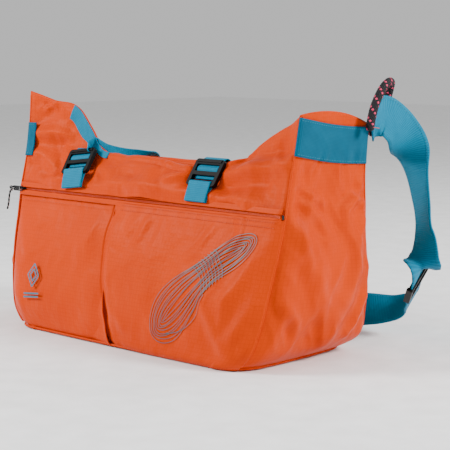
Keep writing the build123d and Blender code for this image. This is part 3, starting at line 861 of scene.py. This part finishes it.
u_line = np.linspace(-1, 1, 60)[:-1]
foot_ring = np.concatenate([wall(side, u_line, 0 * u_line) for side in SIDES])
share = np.linspace(1, 0.002, 12)
floor_rows = foot_ring[:, None, :] * share[None, :, None]
floor_rows[..., 2] = 0.6
base_cloth = grid_mesh("base_cloth", floor_rows[::-1], floor_rows[::-1, :, :2], closed_u=True)
thicken(base_cloth, 0.5)
bag_piece(base_cloth, ORANGE_NYLON, "orange_nylon", "base_panel")

# %% [markdown]
# ## Webbing bands
# A wide band of webbing is sewn round each end of the mouth. It is the end wall's own surface
# again, raised a little, so it follows that wall's folds.

# %% Bands round the ends
BAND_HEIGHT = 46.0
BANDS = {"right": (304.0, 288.0, 0.0, 1.10), "left": (278.0, 275.0, -0.11, 1.0)}


def band_place(side, s, share, lift=1.7):
    """Points of a band: s runs round the end and share up the band's width."""
    front_top, back_top = BANDS[side][:2]
    top = front_top + (back_top - front_top) * np.clip(s, 0, 1) - 3 * np.sin(math.pi * np.clip(s, 0, 1))
    z = top - BAND_HEIGHT * (1 - share)
    extra = 2.6 * smooth_step(-s, 0, 0.03) + 1.5 * smooth_step(s, 1, 1.03)
    return end_place(side, s, z, lift + extra + 0.5 * np.sin(s * 21) * (1 - share))


for side in ("right", "left"):
    s, v = grid(150, 26, *BANDS[side][2:])
    points, uv = band_place(side, s, v), np.stack([s * 150, v * BAND_HEIGHT], -1)
    if side == "left":
        points, uv = points[::-1], uv[::-1]
    band = grid_mesh(f"{side}_band_webbing", points, uv)
    thicken(band, 1.4, offset=0.0)
    bag_piece(band, BAND_WEBBING, "teal_webbing", f"{side}_end_band")

# %% [markdown]
# ## Stitches and seams
# A lockstitch shows as short dashes of thick thread, a little sunk at both ends. Each dash is a
# small closed lozenge. A row is laid on the same surface function as the cloth below it, so that
# every stitch lies on the cloth and turns with it.

# %% Stitch rows
STITCH_LIFT = 0.95


class Stitching:
    """Rows of stitches gathered into one mesh. A stitch is three rings of six points and two tips:
    its middle ring is as thick as the thread and its outer rings 0.85 times as thick."""

    def __init__(self, length, pitch, radius):
        self.length, self.pitch, self.radius, self.parts = length, pitch, radius, []

    def row(self, patch, outward=1.0):
        """Sew along the middle of a patch of surface, three points wide."""
        line, out = patch[:, 1], outward * normals(patch)[:, 1]
        reach = distances(line)
        at = np.arange(self.pitch / 2, reach[-1], self.pitch)
        centre, out = sampled(at, reach, line), unit(sampled(at, reach, out))
        ahead = sampled(at, reach, np.gradient(line, reach, axis=0))
        ahead = unit(ahead - out * (ahead * out).sum(-1, keepdims=True))
        across = np.cross(out, ahead)
        turn = np.arange(6) * math.pi / 3
        place = np.array([-0.36, 0, 0.36])[:, None] * self.length
        thick = np.array([0.85, 1, 0.85])[:, None] * self.radius
        rings = centre[:, None, None] + ahead[:, None, None] * (place + 0 * turn)[None, ..., None] \
            + across[:, None, None] * (thick * np.cos(turn))[None, ..., None] \
            + out[:, None, None] * (thick * np.sin(turn))[None, ..., None]
        tips = centre[:, None] + ahead[:, None] * np.array([-0.5, 0.5])[None, :, None] * self.length \
            - out[:, None] * 0.6 * self.radius
        self.parts.append(np.concatenate([rings.reshape(len(at), 18, 3), tips], 1))

    def mesh(self, name):
        stitch = np.concatenate(self.parts)
        k = np.arange(6)
        nxt = (k + 1) % 6
        quads = np.concatenate([np.stack([k + r, nxt + r, nxt + r + 6, k + r + 6], -1) for r in (0, 6)])
        ends = np.concatenate([np.stack([nxt, k, np.full(6, 18)], -1),
                               np.stack([k + 12, nxt + 12, np.full(6, 19)], -1)])
        start = np.arange(len(stitch))[:, None, None] * 20
        faces = (quads[None] + start).reshape(-1, 4).tolist() \
            + (ends[None] + start).reshape(-1, 3).tolist()
        print(name, len(stitch), "stitches")
        return joined_mesh(name, stitch.reshape(-1, 3), faces)


def beside(place, a, b, da=0.0, db=1.0):
    """Three neighbouring lines of a surface: the line (a, b) and one on each side of it."""
    step = np.array([-1.0, 0.0, 1.0])
    return place(a[:, None] + da * step, b[:, None] + db * step)


# %% Stitches on the pocket, the seams, the hem and the bands
orange_rows = Stitching(2.6, 3.7, 0.34)
for low_x, high_x in ((-246.0, -60.0), (-30.0, 246.0)):
    x = np.linspace(low_x, high_x, 240)
    for drop in (3.4, 9.6):
        z = 0 * x + POCKET_TOP - drop
        orange_rows.row(beside(lambda a, b: front_place(a, b, POCKET_LIFT + STITCH_LIFT), u_of_x(x, z), z))
z = np.linspace(12, POCKET_TOP - 4, 200)
for u_edge in (-0.982, 0.982):
    orange_rows.row(beside(lambda a, b: front_place(a, b, POCKET_LIFT + STITCH_LIFT),
                           u_edge + 0 * z, z, 0.004, 0.0))
z = np.linspace(12, 256, 220)
orange_rows.row(beside(lambda a, b: end_place("right", a, b, 1.0), 0.03 + 0 * z, z, 0.01, 0.0))
orange_rows.row(beside(lambda a, b: end_place("left", a, b, 1.0), 0.03 + 0 * z, z, 0.01, 0.0), -1.0)
bag_piece(orange_rows.mesh("orange_stitches"), ORANGE_THREAD, "orange_thread")

teal_rows = Stitching(2.8, 4.0, 0.36)
for side, outward in (("right", 1.0), ("left", -1.0)):
    s = np.linspace(BANDS[side][2] + 0.02, BANDS[side][3] - 0.02, 200)
    for share in (0.06, 0.94):
        teal_rows.row(beside(lambda a, b: band_place(side, a, b, 2.4), s, share + 0 * s, 0.0, 0.01), outward)

# %% Welts along the corner seams and piping round the base
def tube(name, line, radius, ring=8, closed=False):
    """A plain round tube: circles of points set square to a line. Open ends close to a tip."""
    _, side, other = frames_along(line)
    turn = 2 * math.pi * np.arange(ring) / ring
    size = np.full(len(line), float(radius))
    if not closed:
        size[[0, -1]] = 0.02
    points = line[:, None] + size[:, None, None] * (side[:, None] * np.cos(turn)[None, :, None]
                                                    + other[:, None] * np.sin(turn)[None, :, None])
    uv = np.stack(np.broadcast_arrays(distances(line)[:, None], radius * turn[None, :]), -1)
    return grid_mesh(name, points[:, ::-1], uv[:, ::-1], closed_u=closed, closed_v=True)


WELTS = (("right_front_welt", "front", 1.0, 305.0), ("left_front_welt", "front", -1.0, 318.0),
         ("right_back_welt", "back", -1.0, 288.0), ("left_back_welt", "back", 1.0, 278.0))
for name, side, u_end, top in WELTS:
    z = np.linspace(5, top, 160)
    seam = wall(side, u_end + 0 * z[:, None], z[:, None])[:, 0]
    centre_ward = unit(seam * np.array([1, 1, 0]))
    lean = smooth_step(z, 255, 315)[:, None] * np.array([math.copysign(3.0, seam[0, 0]), 0, 0])
    bag_piece(tube(name, seam + centre_ward * 0.9 - lean, 1.5), ORANGE_NYLON, "orange_nylon")

u_line = np.linspace(-1, 1, 90)[:-1]
ring_line = np.concatenate([wall(side, u_line[:, None], 4.0 + 0 * u_line[:, None])[:, 0]
                            for side in SIDES])
piping = tube("base_piping_cord", ring_line + np.array([0, 0, -0.8]), 1.6, ring=10, closed=True)
bag_piece(piping, ORANGE_NYLON, "orange_nylon", "base_piping")

# %% [markdown]
# ## Zipper
# A coil zipper is two nylon springs, each sewn along the edge of a tape, whose turns hook into one
# another. Each spring is a helix with a flattened round section. The slider, its pull tab and the
# end stops are CAD parts and only need their finish.

# %% Tapes and coil
u, v = grid(260, 7)
TAPES = (("lower", ZIP_Z - 8.4, ZIP_Z - 1.9, 2.0), ("upper", ZIP_Z + 1.9, ZIP_Z + 9.0, 2.2))
for name, low, high, lift in TAPES:
    z = low + v * (high - low)
    tape = grid_mesh(f"zipper_{name}_tape_cloth", raised(wall("front", u * 0.985, z), lift + 0 * u),
                     np.stack([u * 250, z], -1))
    thicken(tape, 0.7, offset=0.0)
    bag_piece(tape, ORANGE_NYLON, "zipper_orange", f"zipper_tape_{name}")

coil_low, coil_high = np.array(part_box("zipper_coil")) / MM
COIL_PITCH = 1.7
theta = np.arange(0, 2 * math.pi * (coil_high[0] - coil_low[0] - 6) / COIL_PITCH, math.pi / 5)
for half in (-1, 1):
    x = coil_low[0] + 3 + theta / (2 * math.pi) * COIL_PITCH + half * COIL_PITCH / 4
    radial = np.stack([0 * theta, np.cos(theta), half * np.sin(theta)], -1)
    line = np.stack([x, (coil_low[1] + coil_high[1]) / 2 + 0.62 * np.cos(theta),
                     ZIP_Z + half * (0.85 + 1.15 * np.sin(theta))], -1)
    turn = 2 * math.pi * np.arange(5) / 5
    points = line[:, None] + 0.36 * (radial[:, None] * np.cos(turn)[None, :, None]
                                     + np.array([1.0, 0, 0]) * np.sin(turn)[None, :, None])
    order = slice(None, None, -half)
    half_name = "lower" if half < 0 else "upper"
    coil = grid_mesh(f"zipper_spring_{half_name}", points[:, order], None, closed_v=True)
    bag_piece(coil, COIL_NYLON, "zipper_orange")
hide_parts("zipper_coil")
print("zipper turns", round((coil_high[0] - coil_low[0]) / COIL_PITCH))
for node, material in (("zipper_slider", BLACK_ENAMEL), ("zipper_pull_tab", BLACK_ENAMEL),
                       ("zipper_stops", BLACK_ENAMEL), ("strap_adjuster", MOULDED_ACETAL),
                       ("right_buckle", MOULDED_ACETAL), ("left_buckle", MOULDED_ACETAL)):
    wear(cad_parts[node], material)

# %% [markdown]
# ## Webbing straps
# A strap is a ribbon carried along a smooth line, with its width turned smoothly from one station
# to the next, which gives the shoulder strap its twist. A physics rope could hang it, but the
# twist is fixed by how the strap is sewn on and is simpler to give station by station.

# %% Ribbons
def ribbon(name, stations, widths, thickness, step=2.5):
    """Webbing through stations of a centre and a width direction. Centres, directions and widths
    are smooth lines over the distance along the strap."""
    centres = np.array([station[0] for station in stations], float)
    wides = unit(np.array([station[1] for station in stations], float))
    widths = np.broadcast_to(np.asarray(widths, float), len(stations))
    reach = distances(centres)
    at = np.linspace(0, reach[-1], int(reach[-1] / step) + 2)
    line = np.stack([smooth_line(at, reach, centres[:, k]) for k in range(3)], -1)
    wide = unit(np.stack([smooth_line(at, reach, wides[:, k]) for k in range(3)], -1))
    width = smooth_line(at, reach, widths)
    ahead = unit(np.gradient(line, axis=0))
    wide = unit(wide - ahead * (wide * ahead).sum(-1, keepdims=True))
    t = np.linspace(-1, 1, 15)
    points = line[:, None] + (wide * width[:, None])[:, None] * t[None, :, None] / 2
    uv = np.stack(np.broadcast_arrays(at[:, None], t[None, :] * widths[0] / 2), -1)
    piece = grid_mesh(name, points, uv)
    thicken(piece, thickness, offset=0.0)
    return piece, points


GLIDE_CENTRE = np.array([262.0, 174.0, 88.0])
GLIDE_ACROSS = np.array([0.0, 0.707107, 0.707107])
GLIDE_ALONG = np.array([-0.60, 0.565685, -0.565685])
UPPER_STATIONS = (
    ((266.5, 72, 286), (0, 0.57, 0.82)), ((265, 84, 297), (0, 0.5, 0.86)),
    ((264, 99, 301), (0, 0.36, 0.93)), ((267, 119, 290), (0.1, 0.34, 0.94)),
    ((267, 140, 268), (0.42, 0.1, 0.88)), ((266, 158, 235), (0.86, -0.34, 0.42)),
    ((267, 170, 194), (0.88, -0.46, 0.2)), ((270, 174, 152), (0.88, -0.46, 0.15)),
    ((277, 166, 122), (0.7, 0.1, 0.7)),
    (GLIDE_CENTRE - 24 * GLIDE_ALONG, GLIDE_ACROSS), (GLIDE_CENTRE, GLIDE_ACROSS))
LOWER_STATIONS = (
    (GLIDE_CENTRE, GLIDE_ACROSS), (GLIDE_CENTRE + 28 * GLIDE_ALONG, GLIDE_ACROSS),
    (GLIDE_CENTRE + 56 * GLIDE_ALONG, GLIDE_ACROSS), (GLIDE_CENTRE + 70 * GLIDE_ALONG, GLIDE_ACROSS),
    ((196, 217, 37), (-0.4, 0.5, 0.7)), ((150, 206, 30), (0, 0.12, 0.99)),
    ((60, 190, 26.5), (0, 0, 1)), ((-60, 176, 26.5), (0, 0, 1)),
    ((-165, 162, 36), (0.1, 0.05, 0.99)), ((-232, 138, 72), (0.45, 0.2, 0.87)),
    ((-266, 104, 132), (0.3, 0.75, 0.6)), ((-275, 64, 196), (0, 0.87, 0.5)),
    ((-267, 20, 258), (0, 0.87, 0.5)))
LOWER_WIDTHS = (49, 49, 47, 40, 38, 44, 50, 50, 50, 50, 50, 50, 50)
for name, stations, widths in (("upper", UPPER_STATIONS, 50), ("lower", LOWER_STATIONS, LOWER_WIDTHS)):
    strap, points = ribbon(f"shoulder_strap_{name}_web", stations, widths, 2.0)
    bag_piece(strap, TEAL_WEBBING, "teal_webbing", f"shoulder_strap_{name}")
    for column in (1, 13):
        for face in (1.0, -1.0):
            thread_columns = slice(column - 1, column + 2)
            patch = points[:, thread_columns] + face * normals(points)[:, thread_columns] * 1.2
            teal_rows.row(patch, face)

# %% Compression straps, each from under its buckle's middle bar over the rim to the back yoke
def buckle_point(origin, across, up, x, y, z):
    """A point in a buckle's own frame: x along its hinge bar, y up, z away from the bag."""
    out = np.cross(across, up)
    return tuple(np.array(origin) + x * np.array(across) + y * np.array(up) + z * out)


BUCKLES = {"right": ((104, -62.0775, 216.092), (1, 0, 0), (0, 0.57016, 0.821534)),
           "left": ((-137, -67.0858, 217.714), (0.990268, 0.06627, 0.122383),
                     (-0.137819, 0.589326, 0.796053))}
IN_BUCKLE = ((8, -2.6), (13, -2.3), (18, -0.4), (22, 0.6), (26, -0.6), (30, -2.2), (36, -2.3))
AFTER_BUCKLE = {
    "right": (((104, -34, 246.5), (1, 0, 0), 37), ((104, -28, 243.5), (1, 0, 0), 37),
              ((104, -18, 238.5), (1, 0, 0), 37),
              ((104, 12, 237.5), (1, 0, 0), 37), ((104, 42, 240), (1, 0, 0), 37),
              ((104, 56, 238), (1, 0, 0), 37),
              ((104, 66, 222), (1, 0, 0), 37), ((104, 71, 210), (1, 0, 0), 37)),
    "left": (((-136, -38, 246), (0.97, 0.15, 0.15), 35), ((-127, -36, 245), (0.75, 0.3, 0.55), 30),
             ((-114, -31, 243.5), (0.35, 0.4, 0.85), 21), ((-100, -22, 242), (0.1, 0.5, 0.86), 16),
             ((-89, -8, 240), (0.1, 0.5, 0.86), 14), ((-86, 12, 238.5), (0.6, 0.3, 0.7), 14),
             ((-94, 36, 237.5), (1, 0.2, 0.3), 14), ((-108, 56, 226), (1, 0, 0), 14),
             ((-112, 63, 214), (1, 0, 0), 14))}
for side in ("right", "left"):
    origin, across, up = BUCKLES[side]
    inside = [(buckle_point(origin, across, up, 0, y, z), across, 37.0) for y, z in IN_BUCKLE]
    stations = inside + list(AFTER_BUCKLE[side])
    strap, _ = ribbon(f"{side}_compression_strap", [st[:2] for st in stations],
                      [st[2] for st in stations], 1.4, step=1.2)
    wear(strap, TEAL_WEBBING)
    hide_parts(f"{side}_threaded_webbing", f"{side}_top_strap")
    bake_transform(strap)

# %% Buckle tabs: webbing that goes up behind the hinge bar, over it and down again
SEAT_SLOPE = {"right": (0.5127, 0.8586), "left": (0.4616, 0.8871)}
LEFT_TURN = math.radians(8)
BAR_RADIUS = 3.5
for side in ("right", "left"):
    origin, across, up = BUCKLES[side]
    seat_up = unit(np.array([0.0, *SEAT_SLOPE[side]]))
    if side == "left":
        seat_up = unit(seat_up * math.cos(LEFT_TURN) - np.array([math.sin(LEFT_TURN), 0, 0]))
    round_bar = np.radians((125, 90, 60, 30, 0, -30, -60, -90, -125))
    path = [(-24, -0.6), (-18, 0.7), (-12, 1.6), (-6, 2.4)] \
        + [(BAR_RADIUS * math.cos(a), BAR_RADIUS * math.sin(a)) for a in round_bar] \
        + [(-6, -1.6), (-12, -1.5), (-18, -1.6), (-24, -2.4)]
    stations = [(buckle_point(origin, across, tuple(seat_up), 0, y, z), across) for y, z in path]
    tab, points = ribbon(f"{side}_tab_web", stations, 37.5, 1.4, step=0.8)
    bag_piece(tab, TEAL_WEBBING, "teal_webbing", f"{side}_buckle_tab")

# %% Narrow webbing along the left horn's rim and the sewn bar at the strap's root
rim_x = np.linspace(-172, -98, 80)
rim_z = smooth_line(rim_x, *FRONT_RIM)
slope = unit(np.stack([np.gradient(rim_x), np.gradient(rim_z)], -1))
share = np.linspace(1, -1, 9)
narrow = 10.5 - 6.5 * smooth_step(rim_x, -146, -116)
edge_x = rim_x[:, None] + slope[:, 1:] * (share[None, :] + 0.92) * narrow[:, None]
edge_z = rim_z[:, None] - slope[:, :1] * (share[None, :] + 0.92) * narrow[:, None]
base = wall("front", edge_x / 258, edge_z)
edge_relief = front_yoke_relief(base[..., 0], base[..., 2], rim_z[:, None] + 0 * edge_z)
binding_points = raised(base, edge_relief + 1.6)
binding = grid_mesh("left_rim_webbing", binding_points,
                    np.stack([edge_x, share[None, :] * 6 + 0 * edge_x], -1))
thicken(binding, 1.3, offset=0.0)
bag_piece(binding, TEAL_WEBBING, "teal_webbing", "left_strap_tail")
bag_piece(teal_rows.mesh("teal_stitches"), TEAL_THREAD, "teal_webbing")

tack = Stitching(5.0, 0.8, 0.42)
place = np.linspace(0, 14, 20)
bar = np.stack([269.6 + 0 * place, 67 + place, 288.4 - 0.14 * place], -1)
up_step = np.array([0, 0, 1.2])
tack.row(np.stack([bar - up_step, bar, bar + up_step], 1))
bag_piece(tack.mesh("strap_root_bartack"), ORANGE_THREAD, "orange_thread", "strap_bartack")

# %% [markdown]
# ## Print and mark
# The pocket carries a printed line drawing of a coiled rope and a small mark. Ink is only a film,
# so each line is a narrow strip. It is laid INK_LIFT millimetres above the pocket's own surface.
# Both drawings are plain generic ones.

# %% Printed lines
def pocket_surface(x, z, lift):
    """Points on the pocket's cloth at any x and z: small steps in u and z give its normal."""
    def at(x, z):
        return wall("front", u_of_x(x, z), z)
    across, up = at(x + 0.5, z) - at(x - 0.5, z), at(x, z + 0.5) - at(x, z - 0.5)
    outward = unit(np.cross(across, up))
    place = at(x, z)
    height = front_relief(place[..., 0], place[..., 2]) + POCKET_LIFT + lift
    return place + outward * height[..., None]


INK_LIFT = 1.15


def print_line(points, width):
    """A strip of ink along points (x, z): two edges half a width to each side, on the pocket."""
    points = np.asarray(points, float)
    ahead = unit(np.gradient(points, axis=0))
    side = np.stack([-ahead[:, 1], ahead[:, 0]], -1)
    flat = points[:, None] + side[:, None] * np.array([1, 0, -1])[None, :, None] * width / 2
    return pocket_surface(flat[..., 0], flat[..., 1], INK_LIFT)


def print_piece(name, lines, width, material):
    """Join many printed strips into one mesh."""
    vertices, faces, count = [], [], 0
    for line in lines:
        strip = print_line(line, width)
        i, j = np.meshgrid(np.arange(strip.shape[0] - 1), np.arange(2), indexing="ij")
        k = (i * 3 + j).ravel() + count
        faces.append(np.stack([k, k + 1, k + 4, k + 3], -1))
        vertices.append(strip.reshape(-1, 3))
        count += strip.shape[0] * 3
    piece = joined_mesh(name, np.concatenate(vertices), np.concatenate(faces).tolist())
    wear(piece, material)
    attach(piece, "bag")


COIL_LOW, COIL_HIGH = np.array([84.0, 34.0]), np.array([222.0, 158.0])
along_axis = unit(COIL_HIGH - COIL_LOW)
cross_axis = np.array([-along_axis[1], along_axis[0]])
coil_length = float(np.linalg.norm(COIL_HIGH - COIL_LOW))
t = np.linspace(0, 2 * math.pi, 130)
drawn = []
for k in range(9):
    near, far = -8.0 + 3.2 * k, coil_length * (1.02 - 0.016 * k)
    reach = near + (far - near) * (1 - np.cos(t)) / 2
    along = reach / coil_length
    waist = 1 - 0.22 * np.exp(-((along - 0.62) / 0.14) ** 2)
    half = (43.0 - 4.7 * k) * (1 - 0.42 * smooth_step(along, 0.05, 0.5)) * waist
    sway = 6.0 * np.sin(math.pi * along) + 1.0 * np.sin(3 * t + 2 * k)
    drawn.append(COIL_LOW + along_axis * reach[:, None] + cross_axis * (half * np.sin(t) + sway)[:, None])
for k in range(8):
    s = np.linspace(-1, 1, 26)
    reach = coil_length * (0.50 + 0.028 * k) + 6 * (1 - s**2)
    drawn.append(COIL_LOW + along_axis * reach[:, None]
                 + cross_axis * (21 * s + 6.0 * np.sin(math.pi * reach / coil_length))[:, None])
s = np.linspace(0, 1, 70)
drawn.append(COIL_LOW + along_axis * (coil_length * (0.52 - 0.46 * s))[:, None]
             + cross_axis * (-17 - 15 * np.sin(math.pi * s) + 4 * s)[:, None])
print_piece("printed_coil_lines", drawn, 0.95, PRINT_INK)

mark_centre = np.array([-180.0, 74.0])
t = np.linspace(0, 1, 60)
outline = []
for radius in (15.0, 8.0):
    turn = np.array([(0, 1), (0.8, 0), (0, -1), (-0.8, 0), (0, 1)]) * radius
    outline.append(mark_centre + np.stack([np.interp(t, np.linspace(0, 1, 5), turn[:, k])
                                           for k in (0, 1)], -1))
for level, half in ((50.0, 17.0), (45.5, 17.0)):
    outline.append(np.stack([mark_centre[0] + half * (2 * t - 1), level + 1.5 * (2 * t - 1)], -1))
print_piece("printed_mark", outline, 2.4, MARK_INK)
